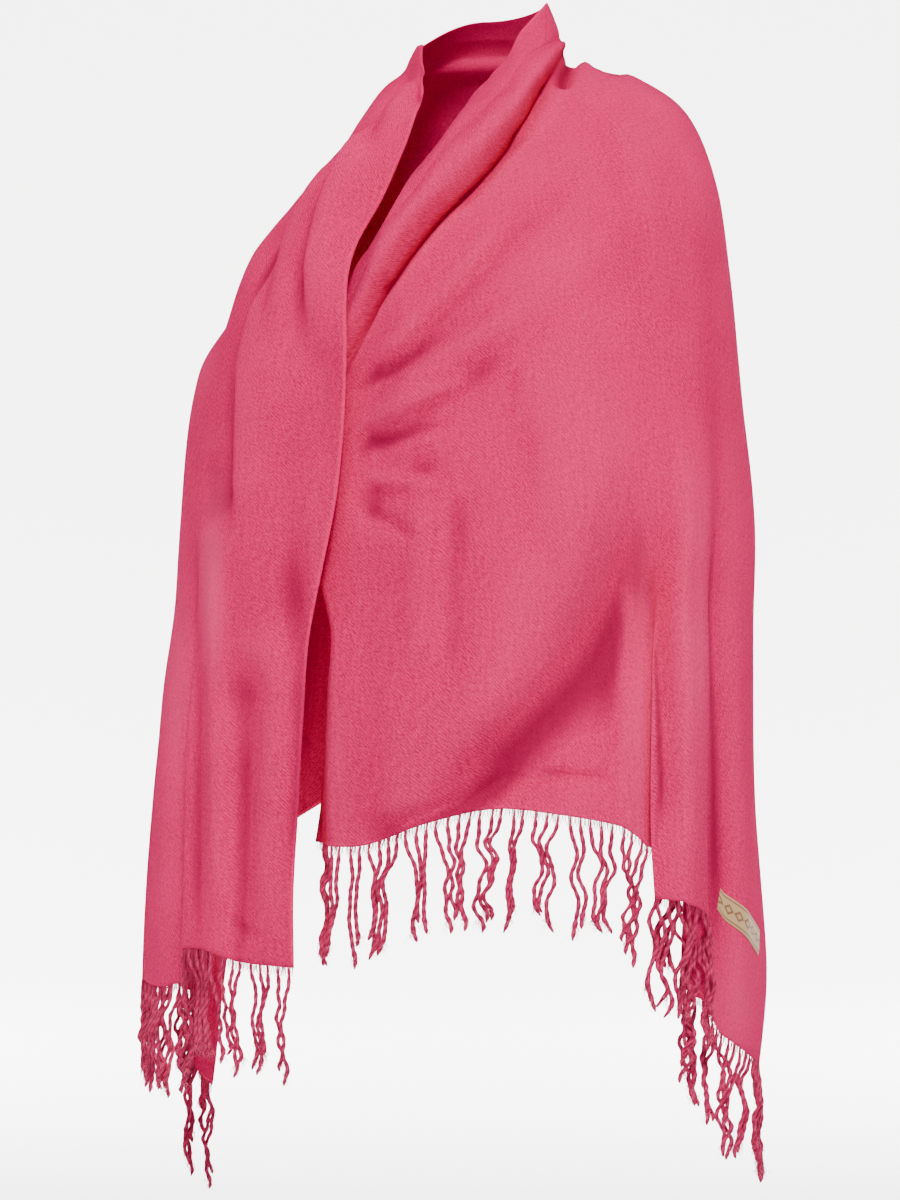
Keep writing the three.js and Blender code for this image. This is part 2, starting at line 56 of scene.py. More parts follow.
camera = bpy.data.objects.new("camera", bpy.data.cameras.new("camera"))
camera.data.lens = 106.7
camera.data.sensor_width = 36
camera.data.clip_end = 60
camera.location = placed((-34, -3200, -450))
camera.rotation_euler = (math.radians(90), 0, view_turn)
bpy.context.collection.objects.link(camera)
bpy.context.scene.camera = camera

# The studio
# A pale painted floor that sweeps up into a low wall all round, lit by large soft lamps and a pale sky. The
# cloth hangs above it at the height that a standing adult's shoulders would give it.


def linear(code):
    """An sRGB hex colour as linear RGBA: a part / 12.92 up to 0.04045, else ((part + 0.055) / 1.055)^2.4."""
    parts = [int(code[i : i + 2], 16) / 255 for i in (1, 3, 5)]
    return [p / 12.92 if p <= 0.04045 else ((p + 0.055) / 1.055) ** 2.4 for p in parts] + [1]


def add(tree, kind, inputs, **settings):
    """A node with its settings, and its inputs given as values or as the sockets that feed them."""
    made = tree.nodes.new(kind)
    for name, value in settings.items():
        setattr(made, name, value)
    for name, value in inputs.items():
        if isinstance(value, bpy.types.NodeSocket):
            tree.links.new(value, made.inputs[name])
        else:
            made.inputs[name].default_value = value
    return made


def material_tree(name):
    """A new material by that name, and its node tree with nothing in it."""
    made = bpy.data.materials.new(name)
    made.use_nodes = True
    made.node_tree.nodes.clear()
    return made, made.node_tree


def grid_faces(columns, rows, closed=False):
    """The quads of a grid of points, columns + 1 by rows + 1, or closed on itself after its columns."""
    i, j = np.meshgrid(np.arange(columns), np.arange(rows), indexing="ij")
    after = (i + 1) % columns if closed else i + 1
    near, far = i * (rows + 1) + j, after * (rows + 1) + j
    return np.stack([near, far, far + 1, near + 1], -1).reshape(-1, 4)


def piece_of(name, points, quads, material, uv=None, marks=None):
    """A smooth mesh object of quads, at the origin. uv and marks give a pair or a number to each point."""
    mesh = bpy.data.meshes.new(name)
    mesh.vertices.add(len(points))
    mesh.vertices.foreach_set("co", np.ascontiguousarray(points, np.float32).ravel())
    mesh.loops.add(quads.size)
    mesh.loops.foreach_set("vertex_index", quads.astype(np.int32).ravel())
    mesh.polygons.add(len(quads))
    mesh.polygons.foreach_set("loop_start", np.arange(0, quads.size, 4, dtype=np.int32))
    mesh.update(calc_edges=True)
    mesh.polygons.foreach_set("use_smooth", np.ones(len(quads), bool))
    if uv is not None:
        layer = mesh.uv_layers.new(name="cloth")
        layer.data.foreach_set("uv", np.ascontiguousarray(uv[quads.ravel()], np.float32).ravel())
    for mark, values in (marks or {}).items():
        layer = mesh.attributes.new(mark, "FLOAT", "POINT")
        layer.data.foreach_set("value", np.asarray(values, np.float32).ravel())
    mesh.validate()
    mesh.materials.append(material)
    made = bpy.data.objects.new(name, mesh)
    bpy.context.collection.objects.link(made)
    return made


floor_height, floor_radius, floor_share = -1.42, 6.0, 0.4
sweep_radius, sweep_turn = 4.4, 1.5
sky_strength = 0.12
# Emulsion rolled on: dead matt, so it gives the cloth soft light and no gleam
paint, tree = material_tree("floor paint, matt off-white")
shader = add(tree, "ShaderNodeBsdfPrincipled", {"Base Color": linear("#fbfaf9"), "Roughness": 0.9})
add(tree, "ShaderNodeOutputMaterial", {"Surface": shader.outputs["BSDF"]})
turn, step = np.meshgrid(np.linspace(0, 2 * np.pi, 97)[:-1], np.linspace(0, 1, 25), indexing="ij")
bend = sweep_turn * (np.maximum(step, floor_share) - floor_share) / (1 - floor_share)
reach = floor_radius * np.minimum(1, step / floor_share) + sweep_radius * np.sin(bend)
rise = sweep_radius * (1 - np.cos(bend))
sweep = np.stack([reach * np.cos(turn), reach * np.sin(turn), floor_height + rise], -1).reshape(-1, 3)
piece_of("studio_floor", sweep, grid_faces(96, 24, closed=True)[:, ::-1], paint)

# The key and fill lamps light the cloth, and the two wall lamps light the wall behind it
for name, place, size, watts in [
    ("key_lamp", (300, -4300, 4400), 1.0, 500),
    ("fill_lamp", (-2600, -5200, 900), 2.4, 40),
    ("left_wall_lamp", (-3000, 3400, 1800), 1.6, 1500),
    ("right_wall_lamp", (3000, 3400, 1800), 1.6, 1500),
]:
    lamp = bpy.data.objects.new(name, bpy.data.lights.new(name, "AREA"))
    lamp.data.size = size
    lamp.data.energy = watts
    lamp.location = placed(place)
    aim = placed((0, 9000 if "wall" in name else 0, -400)) - np.array(lamp.location)
    lamp.rotation_euler = mathutils.Vector(aim).to_track_quat("-Z", "Y").to_euler()
    bpy.context.collection.objects.link(lamp)

world = bpy.data.worlds.new("pale sky")
world.use_nodes = True
world.node_tree.nodes["Background"].inputs["Color"].default_value = linear("#ffffff")
world.node_tree.nodes["Background"].inputs["Strength"].default_value = sky_strength
bpy.context.scene.world = world

# The cloth and its right end
# One length of soft twill, woven pink on a slightly darker pink. Its right end hangs straight down the front
# from the right shoulder in loose pleats, with the fold of its own selvedge along the inner edge.
thickness = 0.9


def table(columns, rows):
    """A table of numbers as one array for each of its named columns."""
    return dict(zip(columns.split(), np.array(rows, float).T))


# Reach of the hollow form on four sides at each ring from the neck down, its heights there, and its slant.
# The form's sides are the viewer's right and left, and the stretches are named for the wearer's.
rings = table(
    "left right front back left_z right_z front_z back_z skew",
    [
        (64, 53, 54, 62, 48, 86, 44, 80, 0.1),
        (70, 60, 62, 72, 38, 60, 24, 64, 0.14),
        (79, 62, 70, 80, 27, 47, 8, 50, 0.2),
        (104, 80, 86, 94, 8, 33, -16, 30, 0.28),
        (147, 133, 112, 112, -26, 11, -54, -4, 0.36),
        (190, 179, 138, 128, -74, -32, -104, -56, 0.42),
        (235, 207, 160, 140, -160, -126, -170, -148, 0.42),
        (269, 222, 178, 146, -270, -270, -270, -270, 0.38),
        (282, 235, 186, 150, -414, -414, -414, -414, 0.32),
        (300, 236, 186, 156, -594, -594, -594, -594, 0.26),
        (311, 246, 182, 166, -774, -774, -774, -774, 0.22),
        (314, 230, 178, 172, -954, -954, -954, -954, 0.2),
        (314, 230, 178, 172, -1134, -1134, -1134, -1134, 0.2),
    ],
)

# The angles round the form, 0 on the right and 90 at the back, at which the stretches meet or end, by height
sides = table(
    "z right_edge right_seam left_seam left_edge",
    [
        (60, 198, 142, 24, -132),
        (36, 214, 142, 23, -132),
        (12, 237, 142, 22, -132),
        (-30, 243, 142, 20, -132),
        (-150, 240.5, 143, 16, -132),
        (-270, 243.4, 143, 13, -131),
        (-350, 243, 144, 12, -130),
        (-416, 241, 144, 11, -124),
        (-484, 238.7, 145, 10, -119),
        (-578, 238, 145, 9, -122),
        (-770, 237.6, 146, 7, -127),
        (-950, 237.5, 146, 6, -127),
    ],
)
stretches = {
    "right": ("right_edge", "right_seam"),
    "back": ("right_seam", "left_seam"),
    "left": ("left_seam", "left_edge"),
}
seams = {"right": (False, True), "back": (True, True), "left": (True, False)}

# The neckline: the ring it starts on, how far below it the collar's groove runs, the lap over that groove and
# how far the roll above it bulges. The roll takes up a share of the band and rises as it laps.
neckline = table(
    "angle top band lap bulge",
    [
        (196, 0, 40, 0, 0),
        (130, 0, 42, 3, 2),
        (20, 0, 46, 4, 3),
        (-20, 0, 52, 6, 4),
        (-57, 0.2, 62, 12, 10),
        (-80, 1.25, 81, 15, 14),
        (-98, 2.7, 123, 15, 16),
        (-112, 4.6, 128, 13, 14),
        (-119, 5.7, 114, 6, 7),
        (-132, 6.6, 80, 0, 0),
    ],
)
roll_reach, roll_rise = 0.5, 0.8
groove_reach = 24
neck_z = 40

# The lower edge all round: two fringed hems, and the long selvedge between them at the back
lower_edge = table(
    "angle z",
    [
        (246, -769),
        (226, -767),
        (217.5, -758),
        (214, -766),
        (210.5, -786),
        (200, -798),
        (180, -794),
        (165, -802),
        (156, -808),
        (153, -814),
        (151.2, -830),
        (148.2, -880),
        (146, -905),
        (144, -840),
        (142, -780),
        (138, -720),
        (130, -668),
        (112, -622),
        (88, -600),
        (62, -606),
        (44, -640),
        (26, -720),
        (14, -800),
        (6, -857),
        (-14, -852),
        (-34, -824),
        (-42, -790),
        (-45.5, -742),
        (-49, -708),
        (-52, -698),
        (-56, -660),
        (-62, -642),
        (-76, -632),
        (-90, -628),
        (-100, -640),
        (-112, -662),
        (-128, -660),
    ],
)

# Pleats that fold back over themselves: stretch, share of the height at which they start, angle there and at
# the hem, half their width, lap, depth, and 1 where the side with the larger angle lies on top
pleats = [
    ("right", 0.5, 204, 214, 15, 22, 16, 1),
    ("right", 0.55, 170, 168, 14, 20, 14, -1),
    ("right", 0.6, 149, 149.7, 10.5, 13, 12, 1),
    ("left", 0.42, -33, -45.5, 13, 19, 14, -1),
    ("left", 0.62, -51, -53, 11.5, 15, 12, 1),
]
pleat_fade = 70

# Soft folds: stretch, start and end in the view's plane, height, width on either side, and bow
soft_folds = [
    ("right", -68, 24, -163, -205, 21, 8, 28, -20),
    ("right", -86, 18, -182, -206, -17, 15, 10, -20),
    ("right", -116, -38, -220, -228, 18, 8, 32, -22),
    ("right", -219, -214, -222, -380, 13, 8, 32, 0),
    ("right", -134, -40, -238, -226, -15, 18, 10, -22),
    ("right", -218, -370, -216, -520, 11, 34, 34, 0),
    ("right", -182, -460, -192, -760, 8, 18, 20, 0),
    ("right", -150, -330, -158, -760, 6, 18, 20, 0),
    ("left", -108, -284, 66, -92, -6, 14, 20, 0),
    ("left", -108, -306, 84, -150, 8, 18, 24, 0),
    ("left", -112, -330, 20, -236, -5.5, 14, 18, 0),
    ("left", -116, -372, -40, -330, -5.5, 16, 20, 0),
    ("left", 96, -300, -108, -640, 18, 60, 28, 40),
    ("left", 140, -380, -30, -620, -22, 34, 56, 36),
    ("left", 146, -400, 142, -700, -7, 12, 10, 0),
    ("left", 170, -340, 168, -760, 8, 12, 12, 0),
    ("left", 192, -300, 194, -740, -6, 7, 16, 0),
    ("back", 60, -40, 120, -420, 10, 30, 34, -16),
    ("back", -50, -50, -120, -460, 10, 34, 30, 18),
    ("back", 10, -180, 0, -600, 11, 30, 36, 0),
    ("back", 96, -330, 130, -640, 12, 28, 26, 0),
    ("back", -90, -320, -110, -640, 12, 26, 28, 0),
]
fold_grows = -0.12, 0.22

# Finer creases that the cloth shows from close by, in the same columns
creases = [
    ("right", -56, 24, -59, -24, -5, 4, 5, 0),
    ("right", -62, 28, -92, -62, -8, 8, 8, -4),
    ("right", -149, -52, -200, -130, -6, 6, 8, -4),
    ("right", -140, -50, -192, -124, 5, 8, 9, -4),
    ("right", -112, -70, -170, -170, -3, 8, 12, -14),
    ("right", -242, -320, -243, -390, -5, 12, 12, 0),
    ("right", -254, -420, -256, -760, -6, 6, 8, 0),
    ("right", -240, -400, -238, -720, 6, 10, 14, 0),
    ("right", -120, -210, -140, -520, 4, 14, 20, 6),
    ("right", -164, -390, -172, -690, -5, 12, 14, 4),
    ("right", -100, -250, -112, -600, -4, 10, 12, 0),
    ("right", -184, -750, -230, -725, -1.8, 3.4, 4, 0),
    ("right", -286, -480, -292, -780, 4, 12, 12, 0),
    ("right", -210, -560, -216, -780, -4, 10, 10, 0),
    ("left", 73, 30, 66, -10, -12, 6, 6, 0),
    ("left", 90, 26, 118, 8, -5, 5, 7, 0),
    ("left", 60, 4, 20, -50, 4, 8, 10, 4),
    ("left", 110, -20, 150, -200, 4, 18, 22, 0),
    ("left", -118, -264, 26, -192, -4, 7, 9, -4),
    ("left", -110, -248, 8, -126, 5, 8, 10, -6),
    ("left", -112, -300, -20, -262, 5, 7, 8, 0),
    ("left", -114, -318, -30, -300, -3.5, 6, 7, 0),
    ("left", -112, -345, -50, -352, 4.5, 6, 7, 0),
    ("left", -110, -372, -62, -396, -3.5, 7, 7, 0),
    ("left", 21, -256, 18, -298, -4, 3.6, 3.6, 0),
    ("left", 46, -598, 102, -601, -4, 3.8, 4.4, 0),
    ("left", -60, -360, -64, -500, 4, 12, 14, 0),
    ("left", -20, -350, -30, -520, -4, 14, 14, 0),
    ("left", 30, -300, 44, -440, -4, 14, 14, 0),
    ("left", -104, -650, 20, -598, -8, 12, 10, -6),
    ("left", 150, -470, 150, -640, -6, 5, 6, 0),
    ("left", 118, -420, 114, -660, 4, 9, 9, 0),
    ("left", 216, -420, 220, -800, 5, 12, 10, 0),
    ("left", 236, -400, 240, -760, -4, 10, 10, 0),
    ("left", 190, -120, 200, -330, -5, 14, 16, 0),
    ("left", 120, -60, 150, -260, 3, 16, 20, 0),
    ("back", 130, -60, 176, -330, 4, 14, 18, 0),
    ("back", -120, -80, -190, -330, -4, 16, 16, 0),
    ("back", 40, -240, 60, -560, -5, 16, 20, 0),
    ("back", -50, -260, -60, -590, 5, 14, 18, 0),
    ("back", 150, -380, 170, -680, 5, 14, 14, 0),
    ("back", -160, -360, -180, -640, -5, 16, 14, 0),
    ("back", 74, -420, 92, -600, -4, 9, 12, 0),
    ("back", -130, -420, -140, -640, 4, 9, 12, 0),
]

# Where the weave is stretched open and light would show through it, painted light: a paler pink mixed into
# the colour. Its columns: stretch, middle, half width and height, amount
painted_backlight_places = [
    ("right", -246, -430, 12, 75, 1),
    ("right", -282, -510, 16, 110, 0.6),
    ("left", 128, -520, 12, 140, 0.5),
    ("left", 176, -480, 12, 110, 0.7),
    ("left", 212, -800, 26, 60, 0.6),
]

# Where the two ends cross, in the view's X: the left one sinks and the right one rises between the first two,
# and past the ridge the left one turns in on itself. Folds fade out near the lines where stretches meet.
crossing_start, crossing_end, crossing_under, crossing_over = -70, -112, -6, 4
turn_ridge, turn_width, turn_depth = -138, 30, -30
seam_fade = 0.08


def smooth(start, end, x):
    """0 before start and 1 past end, with the cubic 3t^2 - 2t^3 between them."""
    t = np.clip((x - start) / (end - start), 0, 1)
    return t * t * (3 - 2 * t)


def along_rows(values, place):
    """A column's value at a place in its rows counted from 0, on the Catmull-Rom cubic through them."""
    last = len(values) - 1
    at = np.clip(place, 0, last)
    i = np.minimum(last - 1, np.floor(at).astype(int))
    t = at - i
    a, b, c, d = (values[np.clip(i + k, 0, last)] for k in (-1, 0, 1, 2))
    return b + 0.5 * t * (c - a + t * (2 * a - 5 * b + 4 * c - d + t * (3 * (b - c) + d - a)))


def place_of(values, value):
    """The place in a rising or falling column's rows at which it has a value, straight between rows."""
    sign = 1 if values[-1] > values[0] else -1
    return np.interp(sign * np.asarray(value), sign * values, np.arange(len(values)))


def form_point(angle, level):
    """A point of the form: four quarter ellipses round the ring at that level, whose depth slants with x."""
    c, s = np.cos(np.radians(angle)), np.sin(np.radians(angle))
    at = {name: along_rows(column, level) for name, column in rings.items() if name != "drop"}
    x = c * np.where(c > 0, at["right"], at["left"])
    y = s * np.where(s > 0, at["back"], at["front"]) - at["skew"] * x
    aside_z = np.where(c > 0, at["right_z"], at["left_z"])
    forth_z = np.where(s > 0, at["back_z"], at["front_z"])
    return np.stack([x, y, c * c * aside_z + s * s * forth_z], -1)


# The drop of each ring: the length down the form from the first, as a mean of its four sides
levels = np.arange(len(rings["skew"]))
quarter_steps = [form_point(a, levels) - form_point(a, np.maximum(0, levels - 1)) for a in (0, 90, 180, 270)]
rings["drop"] = np.cumsum(np.mean([np.linalg.norm(step, axis=-1) for step in quarter_steps], axis=0))


def unit(vectors):
    """Vectors scaled to a length of 1."""
    return vectors / np.maximum(1e-9, np.linalg.norm(vectors, axis=-1, keepdims=True))


def form_frame(angle, level):
    """How far a point moves in a degree round the form, and the way out of it: round crossed with down."""
    up, low = np.maximum(0, level - 0.05), np.minimum(levels[-1], level + 0.05)
    around = form_point(angle - 0.5, level) - form_point(angle + 0.5, level)
    down = form_point(angle, low) - form_point(angle, up)
    return np.linalg.norm(around, axis=-1), unit(np.cross(around, down))


def fold_height(row, base, out):
    """A soft fold: a bell across its bowed line, wider on one side, that dies out past its two ends. The line
    lies where the fold's own height brings the cloth."""
    _, x1, z1, x2, z2, height, above, below, bow = row
    x, _, z = np.moveaxis(base + out * height, -1, 0)
    length = math.hypot(x2 - x1, z2 - z1)
    along = ((x - x1) * (x2 - x1) + (z - z1) * (z2 - z1)) / length**2
    aside = ((x - x1) * (z2 - z1) - (z - z1) * (x2 - x1)) / length + 4 * bow * along * (1 - along)
    ends = smooth(*fold_grows, along) * smooth(*fold_grows, 1 - along)
    return height * ends * np.exp(-((aside / np.where(aside > 0, above, below)) ** 2))


def crossing_lift(name, x, z):
    """How far the left end sinks under the right one and turns in lower down, and the right one rises."""
    share = 1 - smooth(crossing_end, crossing_start, x)
    if name == "right":
        return crossing_over * share * smooth(-60, -150, z)
    if name == "back":
        return 0 * x
    past = 1 - smooth(turn_ridge - turn_width, turn_ridge, x)
    return crossing_under * share + turn_depth * past * smooth(-440, -540, z)


def pleat_at(row, distance, down):
    """A pleat's shift, a full sine of its lap round the form, and its lift, a falling step plus a sine."""
    _, top_down, _, _, half, lap, deep, over = row
    grown = (down - top_down) / (1 - top_down)
    folded = smooth(0, 0.9, grown)
    depth = over * deep * smooth(0, 0.32, grown)
    s = (distance / half + 1) / 2
    inside = (s > 0) & (s < 1)
    fade = 1 - smooth(half, half + pleat_fade, np.abs(distance))
    step = 0.5 - s + folded * np.sin(4 * np.pi * s) / (4 * np.pi)
    lift = np.where(inside, step, -0.5 * np.sign(distance) * fade)
    return np.where(inside, folded * lap * np.sin(2 * np.pi * s), 0), depth * lift


def pleat_middle(row, down):
    """The angle of a pleat's middle: it goes from its top angle to its hem angle on a smooth step."""
    return row[2] + (row[3] - row[2]) * smooth(row[1], 1, down)


def angle_of(name, across, z):
    """The angle round the form at a share of a stretch's width, between its two sides at that height."""
    place = place_of(sides["z"], z)
    first, second = (along_rows(sides[side], place) for side in stretches[name])
    return first + (second - first) * across


def run_of(name, across):
    """The drop at which a stretch starts, and how far its cloth runs down from there to its lower edge."""
    neck = place_of(neckline["angle"], angle_of(name, across, neck_z))
    start = along_rows(rings["drop"], np.maximum(0, along_rows(neckline["top"], neck)))
    z = np.full(np.shape(across), lower_edge["z"][0])
    for _ in range(5):
        z = along_rows(lower_edge["z"], place_of(lower_edge["angle"], angle_of(name, across, z)))
    return start, along_rows(rings["drop"], place_of(rings["left_z"], z)) - start


def cloth_point(name, across, down):
    """The cloth's middle at shares of its width and run: the form's point, shifted round it by the pleats and
    down it by the collar's roll, then lifted off it by pleats, folds, creases and the crossing."""
    start, run = run_of(name, across)
    level = place_of(rings["drop"], start + down * run)
    z = along_rows(rings["left_z"], level)
    angle = angle_of(name, across, z)
    degree, out = form_frame(angle, level)
    shift, lift = 0 * across, 0 * across
    for row in pleats:
        if name in (row[0], "back"):
            change = pleat_at(row, (pleat_middle(row, down) - angle) * degree, down)
            shift, lift = shift + change[0], lift + change[1]
    neck = place_of(neckline["angle"], angle)
    band = along_rows(neckline["band"], neck)
    below = down * run - band
    groove = below / np.where(below < 0, np.maximum(groove_reach, roll_reach * band), groove_reach)
    roll = np.where(np.abs(groove) < 1, along_rows(neckline["lap"], neck) * np.sin(np.pi * groove), 0)
    point = form_point(angle - shift / degree, place_of(rings["drop"], start + down * run - roll))
    bulge = along_rows(neckline["bulge"], neck) * np.sin(np.pi * np.minimum(1, down * run / band))
    base = point + out * (lift + bulge - roll_rise * roll)[..., None]
    folds = crossing_lift(name, point[..., 0], point[..., 2])
    folds = folds + sum(fold_height(row, base, out) for row in soft_folds + creases if row[0] == name)
    first_seam, second_seam = seams[name]
    folds = folds * (smooth(0, seam_fade, across) if first_seam else 1)
    folds = folds * (smooth(0, seam_fade, 1 - across) if second_seam else 1)
    return base + out * folds[..., None]


# Where a stretch's small tucks lie across it and how far they reach, and how hard they and the pleats pull
tucks_of = {"left": (0.86, 0.1), "right": (0.14, 0.12)}
crowd_pull, pleat_crowd = 0.28, 3.2


def crowded_columns(name, share, down):
    """The share of the width for each column. Columns crowd where a tanh step at each pleat's middle, or at
    the middle of the tucks, pulls them. The sum of the steps is undone by halving."""
    crowds = []
    for row in pleats:
        if row[0] != name:
            continue
        middle = np.full(np.shape(down), 0.4)
        for _ in range(4):
            start, run = run_of(name, middle)
            z = along_rows(rings["left_z"], place_of(rings["drop"], start + down * run))
            first = angle_of(name, 0 * z, z)
            degree = 1 / (first - angle_of(name, 0 * z + 1, z))
            middle = (first - pleat_middle(row, down)) * degree
        crowds.append((middle, pleat_crowd * degree))
    if name in tucks_of:
        crowds.append(tucks_of[name])

    def pulled(a):
        """A share of the width, moved by the steps of all the crowds."""
        return a + sum(crowd_pull * np.tanh((a - middle) / reach) for middle, reach in crowds)

    low, high = np.zeros(np.shape(share)), np.ones(np.shape(share))
    target = pulled(low) + (pulled(high) - pulled(low)) * share
    for _ in range(20):
        half = (low + high) / 2
        under = pulled(half) < target
        low, high = np.where(under, half, low), np.where(under, high, half)
    return np.where(share <= 0, 0, np.where(share >= 1, 1, (low + high) / 2))


def cloth_rows(name, across, share):
    """The share of the run for each row: a tenth of the rows lie above the collar's roll, a sixth in it."""
    _, run = run_of(name, across)
    band = along_rows(neckline["band"], place_of(neckline["angle"], angle_of(name, across, neck_z)))
    fall = [0 * run, band - np.maximum(groove_reach, roll_reach * band), band + groove_reach, run]
    marks = [0, 0.1, 0.26, 1]
    place = np.clip(np.searchsorted(marks, share, side="right") - 1, 0, 2)
    t = (share - np.take(marks, place)) / (np.take(marks, place + 1) - np.take(marks, place))
    near, far = np.choose(place, fall[:3]), np.choose(place, fall[1:])
    return (near + (far - near) * t) / run


def softened(points, times):
    """A grid of points, each moved many times to the 1, 2, 1 mean of itself and its neighbours."""
    for _ in range(times):
        for axis in (0, 1):
            wide = np.pad(points, [(1, 1) if k == axis else (0, 0) for k in range(3)], mode="edge")
            before, after = (np.take(wide, np.arange(points.shape[axis]) + k, axis) for k in (0, 2))
            points = (before + 2 * points) / 4 + after / 4
    return points


def painted_backlight_at(name, middle):
    """How much painted light the cloth gets where light would show through it: the highest of the bells round
    its places.
    """
    x, z = middle[..., 0], middle[..., 2]
    bells = [
        amount * np.exp(-(((x - at_x) / wide) ** 2) - ((z - at_z) / tall) ** 2)
        for on, at_x, at_z, wide, tall, amount in painted_backlight_places
        if on == name
    ]
    return np.max([0 * x, *bells], axis=0)


def gap(points, axis):
    """The distance in metres from each point of a grid to the one before it, 0 for the first."""
    return np.linalg.norm(np.diff(points, axis=axis, prepend=np.take(points, [0], axis)), axis=-1) / 1000


def shell_quads(columns, rows):
    """The quads of a thin shell whose outer grid of points comes first and its inner grid next: both faces,
    the inner one turned over, and a wall round the four sides."""
    faces = grid_faces(columns, rows)
    count = (columns + 1) * (rows + 1)
    top = np.arange(columns + 1) * (rows + 1)
    side = np.arange(rows + 1)
    rims = [top, columns * (rows + 1) + side, (top + rows)[::-1], side[::-1]]
    walls = [np.stack([line[:-1], line[:-1] + count, line[1:] + count, line[1:]], -1) for line in rims]
    return np.concatenate([faces, faces[:, ::-1] + count, *walls])


# A trough this deep gets the full painted shade of a hollow, where the cloth is compared with itself
# softened; ridges get a painted highlight
hollow_depth, softenings = 4.5, 60
# The form's mean reach in metres, and how much wider than the form cloth must lie to count as pleated
mean_reach = 0.25
pleated_from, pleated_to = 1.8, 3.0


def cloth_piece(name, label, columns, rows, material):
    """A stretch of cloth as a closed shell: its middle's points moved out and in by half its thickness along
    the grid's own normals, with smooth quads on both faces and flat ones round the rim. Its UV, in metres, is
    the angle round the form at its mean reach, lengthened from the stretch's free side by the cloth that the
    pleats take up, and the length down the form. Its marks are: the distance to a free edge, which sets a
    painted highlight there; how deep the cloth lies below its softened self, which sets painted shade in
    troughs and a painted highlight on ridges; and how much painted light is put where light would show
    through the cloth."""
    i, j = np.meshgrid(np.arange(columns + 1) / columns, np.arange(rows + 1) / rows, indexing="ij")
    across = crowded_columns(name, i, j)
    down = cloth_rows(name, across, j)
    across = crowded_columns(name, i, down)
    middle = cloth_point(name, across, down)
    along, fall = np.gradient(middle, axis=0), np.gradient(middle, axis=1)
    out = unit(np.cross(along, fall))
    u, v = (np.cumsum(gap(middle, axis), axis=axis) for axis in (0, 1))
    ends = [x for x, seam in zip((u, u[-1:] - u), seams[name]) if not seam]
    rim = np.min([*ends, v, v[:, -1:] - v], axis=0)
    # How deep the cloth lies below its softened self: this sets painted shade in the troughs and a painted
    # highlight on the ridges
    hollow = np.sum((softened(middle, softenings) - middle) * out, axis=-1) / hollow_depth
    marks = {"rim": rim, "hollow": np.clip(hollow, -1, 1), "painted_backlight": painted_backlight_at(name, middle)}
    marks = {mark: np.tile(values.ravel(), 2) for mark, values in marks.items()}
    start, run = run_of(name, across)
    drop = start + down * run
    level = place_of(rings["drop"], drop)
    angle = angle_of(name, across, along_rows(rings["left_z"], level))
    bare = form_point(angle, level)
    wide, plain = gap(middle[..., :2], 0), gap(bare[..., :2], 0)
    pleated = smooth(pleated_from, pleated_to, wide / np.maximum(1e-6, plain))
    taken = np.cumsum((wide - plain) * pleated, axis=0)
    taken = taken - taken[-1:] * (not seams[name][1])
    uv = np.stack([np.radians(angle) * mean_reach - taken, drop / 1000], -1).reshape(-1, 2)
    sides_of_it = [(middle + way * out * thickness / 2).reshape(-1, 3) for way in (1, -1)]
    quads = shell_quads(columns, rows)
    made = piece_of(label, placed(np.concatenate(sides_of_it)), quads, material, np.tile(uv, (2, 1)), marks)
    made.data.polygons.foreach_set("use_smooth", np.arange(len(quads)) < 2 * columns * rows)
    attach(made, "root")
    return made


